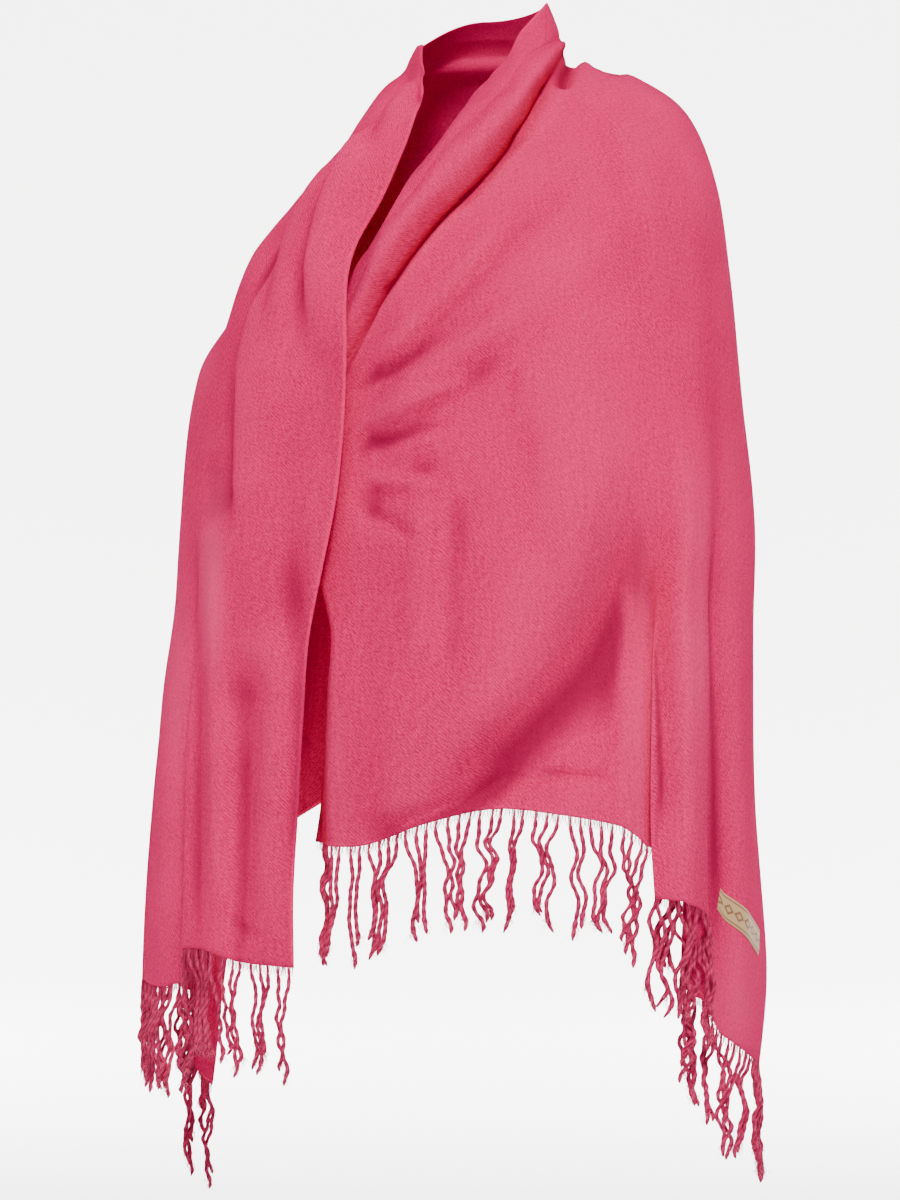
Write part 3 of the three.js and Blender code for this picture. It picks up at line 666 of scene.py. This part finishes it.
def twill(name, light, deep):
    """Soft twill, woven and piece-dyed: short slanting dashes of light and dark yarn, a faint diagonal rib
    and next to no gloss. The real ribs are about 0.7 mm apart, too fine for the picture, so they are drawn
    2.2 mm apart, with dashes 1.3 by 5 mm. Painted shade darkens the colour in the hollows. A painted
    highlight lightens it a little on ridges and along free edges. Painted light lightens it where the weave
    is stretched open and light would show through."""
    made, tree = material_tree(name)
    uv = add(tree, "ShaderNodeUVMap", {}, uv_map="cloth").outputs["UV"]
    where = add(tree, "ShaderNodeTexCoord", {}).outputs["Object"]
    slanted = add(tree, "ShaderNodeMapping", {"Vector": uv, "Rotation": (0, 0, math.radians(45))}).outputs[0]
    rib_scale = 0.314 / 0.0022
    ribs = add(
        tree, "ShaderNodeTexWave", {"Vector": slanted, "Scale": rib_scale, "Distortion": 0.8, "Detail": 0}
    ).outputs["Fac"]
    dashed = add(tree, "ShaderNodeMapping", {"Vector": slanted, "Scale": (760, 190, 1)}).outputs[0]
    warp = add(tree, "ShaderNodeMapping", {"Vector": uv, "Scale": (420, 30, 1)}).outputs[0]
    dashes, threads = (
        add(
            tree, "ShaderNodeTexNoise", {"Vector": stretched, "Scale": 1, "Detail": detail, "Roughness": 0.6}
        ).outputs[0]
        for stretched, detail in ((dashed, 2), (warp, 3))
    )
    specks = add(tree, "ShaderNodeTexNoise", {"Vector": uv, "Scale": 640, "Detail": 1}).outputs[0]
    clouds = add(tree, "ShaderNodeTexNoise", {"Vector": where, "Scale": 9, "Detail": 3}).outputs[0]
    yarn = dashes
    for part, share in ((specks, 0.8), (threads, 0.3), (ribs, 0.14), (clouds, 0.35)):
        yarn = add(tree, "ShaderNodeMath", {0: part, 1: share, 2: yarn}, operation="MULTIPLY_ADD").outputs[0]
    shade = add(tree, "ShaderNodeMapRange", {"Value": yarn, "From Min": 0.96, "From Max": 1.54}).outputs[0]
    # A painted highlight: the colour is lightened over the last 4 mm before a free edge, most within 1.5 mm
    # of it
    rim = add(tree, "ShaderNodeAttribute", {}, attribute_name="rim").outputs["Fac"]
    edge_highlight = add(
        tree, "ShaderNodeMapRange", {"Value": rim, "From Min": 0.004, "From Max": 0.0015, "To Max": 0.35}
    ).outputs[0]
    shade = add(tree, "ShaderNodeMath", {0: shade, 1: edge_highlight}, operation="ADD", use_clamp=True).outputs[0]
    colour = add(
        tree, "ShaderNodeMix", {"Factor": shade, "A": linear(deep), "B": linear(light)}, data_type="RGBA"
    ).outputs["Result"]
    # Painted shade: a dark red mixed into the troughs. Painted highlight: a bright pink mixed onto the
    # ridges. Painted light: the same bright pink where light would show through the cloth
    for mark, low, high, most, tint in (
        ("hollow", 0.15, 1.1, 0.76, "#7a0a30"),
        ("hollow", -0.05, -0.8, 0.12, "#ff4f88"),
        ("painted_backlight", 0.0, 1.0, 0.4, "#ff4f88"),
    ):
        value = add(tree, "ShaderNodeAttribute", {}, attribute_name=mark).outputs["Fac"]
        part = add(
            tree, "ShaderNodeMapRange", {"Value": value, "From Min": low, "From Max": high, "To Max": most}
        ).outputs[0]
        colour = add(
            tree, "ShaderNodeMix", {"Factor": part, "A": colour, "B": linear(tint)}, data_type="RGBA"
        ).outputs["Result"]
    bump = add(tree, "ShaderNodeBump", {"Height": yarn, "Strength": 0.5, "Distance": 0.0007}).outputs[0]
    shader = add(
        tree,
        "ShaderNodeBsdfPrincipled",
        {
            "Base Color": colour,
            "Roughness": 0.62,
            "Specular IOR Level": 0.0,
            "Sheen Weight": 0.03,
            "Sheen Roughness": 0.4,
            "Sheen Tint": linear("#ffb0c8"),
            "Normal": bump,
        },
    )
    add(tree, "ShaderNodeOutputMaterial", {"Surface": shader.outputs["BSDF"]})
    return made


pink_twill = twill("soft twill, piece-dyed pink", "#ee206a", "#b21046")
right_end = cloth_piece("right", "right_end_cloth", 190, 240, pink_twill)
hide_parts("right_end")

# The back stretch
# The same cloth over both shoulders, with its lower selvedge hanging in a shallow curve between the two ends.
back_cloth = cloth_piece("back", "back_cloth", 150, 220, pink_twill)
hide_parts("back")

# The left end
# The same cloth from the left shoulder, rolled into a collar along the neckline, crossing the chest under the
# right end and falling in a cascade of two folds beside the arm.
left_end = cloth_piece("left", "left_end_cloth", 200, 240, pink_twill)
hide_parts("left_end")

# The fringes
# The warp ends left unwoven at both ends of the cloth. A few at a time run together below the hem and are
# twisted into a cord of two plies. The cords wave, cling together and end in a brush of loose wool.
cord_length, cord_steps, cord_sides = 92, 66, 7
ply_pitch = 8.0
root_length = 9
# How far apart the cords of each end leave the hem, and their radius
cords_of = {"right": (10.4, 1.9), "left": (9.6, 2.0)}
# Where some warp of each end hangs untwisted, in the view's X
loose_ends = {"right": (-262, -229), "left": (186, 226)}
# How far cords swing aside and forth, least and most, how often, and the share that the hem holds straight
swing_aside, swing_forth = (1.4, 4.4), (1.2, 3.4)
swing_turns, held_share = (1.0, 2.1), 0.3
# How far cords are drawn to the middle of their cluster, where their knot sits, and the brush at their tips
cling = 0.5
knot_place, knot_length = 0.87, 3.0
hairs, hair_bits, hair_radius = 15, 7, 0.34


def hem_line(name, samples=2400):
    """Points of a stretch's hem, the way out there, the way along it, and the way the cloth falls."""
    across = np.linspace(0.002, 0.998, samples)
    down = np.ones(samples)
    point = cloth_point(name, across, down)
    fall = unit(point - cloth_point(name, across, down - 0.003))
    along = unit(np.gradient(point, axis=0))
    return point, unit(np.cross(along, fall)), along, fall


def hanging(name, hem, stops, lengths, aside, forth):
    """Lines that start at stops walked along the hem and fall straight down, led aside along it and forth out
    of it by as much as given at each step. Returned with those two ways."""
    point, out, along, fall = hem
    walked = np.concatenate([[0], np.cumsum(np.linalg.norm(np.diff(point, axis=0), axis=-1))])
    at = np.searchsorted(walked, stops).clip(0, len(point) - 1)
    t = np.linspace(0, 1, aside.shape[1])[None, :, None]
    side_way = unit(along[at] * (1, 1, 0))[:, None, :]
    out_way = unit(out[at] * (1, 1, 0) + (0, 0, 1e-6))[:, None, :]
    start = point[at][:, None, :] + fall[at][:, None, :] * (-1 + 4 * (1 - np.exp(-t * 12)))
    line = start + side_way * aside[..., None] + out_way * forth[..., None]
    return line - np.array([0, 0, 1]) * (lengths[:, None, None] * t), side_way, out_way


def tubes(line, side_way, out_way, radius):
    """Points and quads of open tubes along lines. radius has a value for each line, side and step."""
    count, sides, steps = radius.shape
    turn = (2 * np.pi * np.arange(sides) / sides)[None, :, None]
    ring = side_way[:, None] * (radius * np.cos(turn))[..., None]
    ring = ring + out_way[:, None] * (radius * np.sin(turn))[..., None]
    faces = grid_faces(sides, steps - 1, closed=True)
    quads = (faces[None] + (np.arange(count) * sides * steps)[:, None, None]).reshape(-1, 4)
    return (line[:, None] + ring).reshape(-1, 3), quads


def waves(rng, group, steps, size, turns, held):
    """Wander of lines: two sines, the second smaller and faster, that grow from nothing over the held share.
    Size, phase and turns are random for each group of lines, and a little for each line in it."""
    t = np.linspace(0, 1, steps)[None, :]
    total = 0
    for share, faster in ((1, 1), (0.4, 2.3)):
        own = rng.uniform(-0.5, 0.5, (3, len(group), 1))
        shared = rng.uniform(0, 1, (3, len(group)))[:, group, None]
        phase = 2 * np.pi * shared[0] + 0.9 * own[0]
        amount = share * (size[0] + (size[1] - size[0]) * (shared[1] + 0.3 * own[1]))
        spins = faster * (turns[0] + (turns[1] - turns[0]) * (shared[2] + 0.15 * own[2]))
        total = total + amount * (np.sin(2 * np.pi * spins * t + phase) - np.sin(phase)) * smooth(0, held, t)
    return total


def fringe_piece(name, label, seed, material):
    """All the threads of one end: cords whose section is an ellipse that makes half a turn in each ply pitch,
    the warp ends that run into each, the brush at each tip, a fray along the hem, and some loose warp."""
    rng = np.random.default_rng(seed)
    pitch, thick = cords_of[name]
    hem = hem_line(name)
    point = hem[0]
    hem_length = np.linalg.norm(np.diff(point, axis=0), axis=-1).sum()
    stops = np.arange(pitch / 2, hem_length, pitch)
    stops = stops + rng.uniform(-0.16, 0.16, len(stops)) * pitch
    count, steps = len(stops), cord_steps + 1
    t = np.linspace(0, 1, steps)[None, :]
    group = np.searchsorted(np.cumsum(rng.choice([2, 3, 3, 4], count)), np.arange(count), side="right")
    centre = np.array([stops[group == g].mean() for g in group])
    sway = rng.normal(0, 4.5, count)[group] + rng.normal(0, 1.8, count)
    lengths = cord_length * rng.uniform(0.86, 1.12, count)
    aside = cling * (centre - stops)[:, None] * smooth(0.02, 0.4, t) + sway[:, None] * t**1.4
    aside = aside + waves(rng, group, steps, swing_aside, swing_turns, held_share)
    forth = waves(rng, group, steps, swing_forth, swing_turns, held_share)
    line, side_way, out_way = hanging(name, hem, stops, lengths, aside, forth)
    turn = (2 * np.pi * np.arange(cord_sides) / cord_sides)[None, :, None]
    twist = np.pi * (lengths[:, None] * t)[:, None] / ply_pitch
    knot = np.exp(-(((t - knot_place) * lengths[:, None] / knot_length) ** 2))[:, None]
    body = (0.35 + 0.65 * smooth(0, 0.12, t)) * np.sqrt(np.clip((1 - t) * 24, 0.1, 1))
    radius = thick * body[:, None] * (1 + 0.13 * np.cos(2 * (turn - twist)) + 0.3 * knot)
    parts = [tubes(line, side_way, out_way, radius)]
    walked = np.broadcast_to((lengths[:, None] * t)[:, None], radius.shape) / 1000
    round_it = np.broadcast_to((np.arange(cord_sides) / cord_sides)[None, :, None], radius.shape)
    uvs = [np.stack([round_it, walked], -1).reshape(-1, 2)]

    def thin(start, lengths, aside, forth, width):
        """Adds single yarns: three-sided tubes that taper to 0.4 of their radius."""
        found = hanging(name, hem, start, lengths, aside, forth)
        tip = np.linspace(1, 0.4, aside.shape[1])[None, None, :]
        parts.append(tubes(*found, np.broadcast_to(width * tip, (len(start), 3, aside.shape[1]))))
        uvs.append(np.tile([0.5, 0.02], (len(parts[-1][0]), 1)))

    few = np.linspace(0, 1, 5)[None, :]
    for share in (-0.46, -0.16, 0.16, 0.46):
        led = -share * pitch * smooth(0, 1, few) + 0 * stops[:, None]
        thin(stops + share * pitch, np.full(count, float(root_length)), led, 0 * led, 0.42)
    ends = np.sort(rng.uniform(0, hem_length, int(hem_length / 1.5)))
    bent = rng.normal(0, 1.4, (len(ends), 1)) * few
    thin(ends, rng.uniform(2, 6, len(ends)), bent, bent * 0.6, 0.2)
    low, high = loose_ends[name]
    at = np.searchsorted(np.linspace(0, hem_length, len(point)), ends).clip(0, len(point) - 1)
    front = (point[at, 0] > low) & (point[at, 0] < high) & (point[at, 1] < np.median(point[:, 1]))
    loose = ends[front]
    if len(loose):
        drift = waves(rng, np.arange(len(loose)), 14, (0.3, 1.2), (0.4, 1.2), 0.3)
        thin(loose, rng.uniform(26, 50, len(loose)), drift, drift * 0.5, 0.26)

    s = np.linspace(0, 1, hair_bits)[None, None, :]
    each = (2, count, hairs, 1)
    spread = rng.normal(0, 2.6, each) * s**0.7
    curl = rng.normal(0, 1.9, each) * np.sin(2 * np.pi * rng.uniform(0.6, 1.5, each) * s)
    fallen = rng.uniform(4, 13, each[1:]) * s
    spread_aside, spread_forth = (spread + curl)[..., None]
    hair = line[:, -9][:, None, None, :] + side_way[:, :, None] * spread_aside
    hair = hair + out_way[:, :, None] * spread_forth - np.array([0, 0, 1]) * fallen[..., None]
    hair = hair.reshape(count * hairs, hair_bits, 3)
    ways = [np.repeat(way, hairs, axis=0) for way in (side_way, out_way)]
    taper = np.broadcast_to(hair_radius * (1.1 - s[0])[None], (count * hairs, 3, hair_bits))
    parts.append(tubes(hair, *ways, taper))
    uvs.append(np.tile([0.5, 0.3], (len(parts[-1][0]), 1)))

    firsts = np.concatenate([[0], np.cumsum([len(points) for points, _ in parts])])
    points = np.concatenate([points for points, _ in parts])
    quads = np.concatenate([quads + first for (_, quads), first in zip(parts, firsts)])
    made = piece_of(label, placed(points), quads, material, np.concatenate(uvs))
    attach(made, "root")
    return made


# Two-ply warp yarn, twisted by hand: painted light and shade along the twist make the plies show as slanting
# light and dark turns; dull all over, with a paler fuzz at the tips
cord_wool, tree = material_tree("twisted wool warp, dark pink")
uv = add(tree, "ShaderNodeUVMap", {}, uv_map="cloth").outputs["UV"]
axes = add(tree, "ShaderNodeSeparateXYZ", {"Vector": uv}).outputs
turned = add(tree, "ShaderNodeMath", {0: axes[1], 1: 1000 / ply_pitch}, operation="MULTIPLY").outputs[0]
spiral = add(tree, "ShaderNodeMath", {0: axes[0], 1: 2.0, 2: turned}, operation="MULTIPLY_ADD").outputs[0]
around = add(tree, "ShaderNodeMath", {0: spiral, 1: 2 * math.pi}, operation="MULTIPLY").outputs[0]
# A sine along the twist: painted light and shade of the plies, mixed into the yarn's colour
ply = add(tree, "ShaderNodeMath", {0: around}, operation="SINE").outputs[0]
where = add(tree, "ShaderNodeTexCoord", {}).outputs["Object"]
fibre = add(tree, "ShaderNodeTexNoise", {"Vector": where, "Scale": 900, "Detail": 2}).outputs[0]
long_tone = add(tree, "ShaderNodeTexNoise", {"Vector": where, "Scale": 40, "Detail": 2}).outputs[0]
tone = add(tree, "ShaderNodeMath", {0: ply, 1: 0.22, 2: fibre}, operation="MULTIPLY_ADD").outputs[0]
tone = add(tree, "ShaderNodeMath", {0: long_tone, 1: 0.6, 2: tone}, operation="MULTIPLY_ADD").outputs[0]
shade = add(tree, "ShaderNodeMapRange", {"Value": tone, "From Min": 0.5, "From Max": 1.25}).outputs[0]
colour = add(
    tree, "ShaderNodeMix", {"Factor": shade, "A": linear("#8c0e38"), "B": linear("#e0306c")}, data_type="RGBA"
).outputs["Result"]
brushed = add(tree, "ShaderNodeMath", {0: axes[1], 1: 0.2}, operation="GREATER_THAN").outputs[0]
brushed = add(tree, "ShaderNodeMath", {0: brushed, 1: 0.7}, operation="MULTIPLY").outputs[0]
colour = add(
    tree, "ShaderNodeMix", {"Factor": brushed, "A": colour, "B": linear("#ff5c90")}, data_type="RGBA"
).outputs["Result"]
bump = add(tree, "ShaderNodeBump", {"Height": tone, "Strength": 0.5, "Distance": 0.0004}).outputs[0]
shader = add(
    tree,
    "ShaderNodeBsdfPrincipled",
    {"Base Color": colour, "Roughness": 0.8, "Specular IOR Level": 0.2, "Sheen Weight": 0.05, "Normal": bump},
)
add(tree, "ShaderNodeOutputMaterial", {"Surface": shader.outputs["BSDF"]})

fringe_right = fringe_piece("right", "right_end_fringe", 11, cord_wool)
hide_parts("fringe_right")
fringe_left = fringe_piece("left", "left_end_fringe", 23, cord_wool)
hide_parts("fringe_left")

# The label
# A small tan damask label, woven with a plain border and a row of lozenges. It lies flat on the outside of
# the left end, near its corner, with its rim rounded down to the cloth.
label_length, label_width, label_thickness = 62, 24, 0.8
label_tilt = math.radians(14)
label_across, label_down = 0.25, 0.889
label_edge, label_lift = 0.9, 0.1


def label_shell(s, t, lift):
    """Points of the left end's cloth at s along and t down the label from its middle, moved out by lift: the
    label's axes are turned by its tilt and divided by the cloth's own scale in each direction."""
    here, nearby = np.array([[label_across], [label_down]]), 0.01
    pairs = [
        (cloth_point("left", *(here + step)), cloth_point("left", *(here - step)))
        for step in (np.array([[nearby], [0]]), np.array([[0], [nearby]]))
    ]
    scale = [np.linalg.norm(far - near) / (2 * nearby) for far, near in pairs]
    c, k = math.cos(label_tilt), math.sin(label_tilt)
    across = label_across - (s * c - t * k) / scale[0]
    down = label_down + (s * k + t * c) / scale[1]
    middle = cloth_point("left", across, down)
    small = 0.002
    along = cloth_point("left", across + small, down) - cloth_point("left", across - small, down)
    fall = cloth_point("left", across, down + small) - cloth_point("left", across, down - small)
    return middle + unit(np.cross(along, fall)) * (thickness / 2 + lift)[..., None]


columns, rows = 62, 24
i, j = np.meshgrid(np.linspace(-1, 1, columns + 1), np.linspace(-1, 1, rows + 1), indexing="ij")
s, t = -i * label_length / 2, j * label_width / 2
near_edge = np.minimum(label_length / 2 - np.abs(s), label_width / 2 - np.abs(t))
crown = label_thickness * np.sqrt(np.clip(near_edge / label_edge, 0, 1)) * 0.75 + 0.25
outer = label_shell(s, t, 0.3 + crown).reshape(-1, 3)
inner = label_shell(s, t, 0 * s + label_lift).reshape(-1, 3)
uv = np.stack([s, t], -1).reshape(-1, 2) / 1000

# Satin damask, woven in polyester: close cross ribs with a soft gleam, and a darker figure in the same plane
damask, tree = material_tree("woven damask label, tan")
uv_in = add(tree, "ShaderNodeUVMap", {}, uv_map="cloth").outputs["UV"]
weft = add(tree, "ShaderNodeMapping", {"Vector": uv_in, "Rotation": (0, 0, math.radians(90))}).outputs[0]
rib_scale = 0.314 / 0.0011
ribs = add(tree, "ShaderNodeTexWave", {"Vector": weft, "Scale": rib_scale, "Distortion": 0.8}).outputs["Fac"]
axes = add(tree, "ShaderNodeSeparateXYZ", {"Vector": uv_in}).outputs
# Lozenges 10.4 mm apart along the middle, each an outline with a bare core, between two lines 18.4 mm apart
aside = add(tree, "ShaderNodeMath", {0: axes[0], 1: 0.0052}, operation="PINGPONG").outputs[0]
off_middle = add(tree, "ShaderNodeMath", {0: axes[1]}, operation="ABSOLUTE").outputs[0]
lozenge = add(tree, "ShaderNodeMath", {0: aside, 1: off_middle}, operation="ADD").outputs[0]
inside, core = (
    add(tree, "ShaderNodeMapRange", {"Value": lozenge, "From Min": low, "From Max": high}).outputs[0]
    for low, high in ((0.0056, 0.0049), (0.0022, 0.0028))
)
inside = add(tree, "ShaderNodeMath", {0: inside, 1: core}, operation="MULTIPLY").outputs[0]
band = add(tree, "ShaderNodeMath", {0: off_middle, 1: 0.0092}, operation="SUBTRACT").outputs[0]
band = add(tree, "ShaderNodeMath", {0: band}, operation="ABSOLUTE").outputs[0]
band = add(tree, "ShaderNodeMapRange", {"Value": band, "From Min": 0.0009, "From Max": 0.0005}).outputs[0]
figure = add(tree, "ShaderNodeMath", {0: inside, 1: band}, operation="MAXIMUM").outputs[0]
ground = add(
    tree, "ShaderNodeMix", {"Factor": ribs, "A": linear("#b78d5c"), "B": linear("#dcb98a")}, data_type="RGBA"
).outputs["Result"]
colour = add(
    tree, "ShaderNodeMix", {"Factor": figure, "A": ground, "B": linear("#8d5f3c")}, data_type="RGBA"
).outputs["Result"]
bump = add(tree, "ShaderNodeBump", {"Height": ribs, "Strength": 0.5, "Distance": 0.0003}).outputs[0]
shader = add(
    tree,
    "ShaderNodeBsdfPrincipled",
    {"Base Color": colour, "Roughness": 0.5, "Specular IOR Level": 0.4, "Sheen Weight": 0.15, "Normal": bump},
)
add(tree, "ShaderNodeOutputMaterial", {"Surface": shader.outputs["BSDF"]})
points = placed(np.concatenate([outer, inner]))
label = piece_of("woven_label", points, shell_quads(columns, rows), damask, np.tile(uv, (2, 1)))
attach(label, "root")
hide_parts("label")
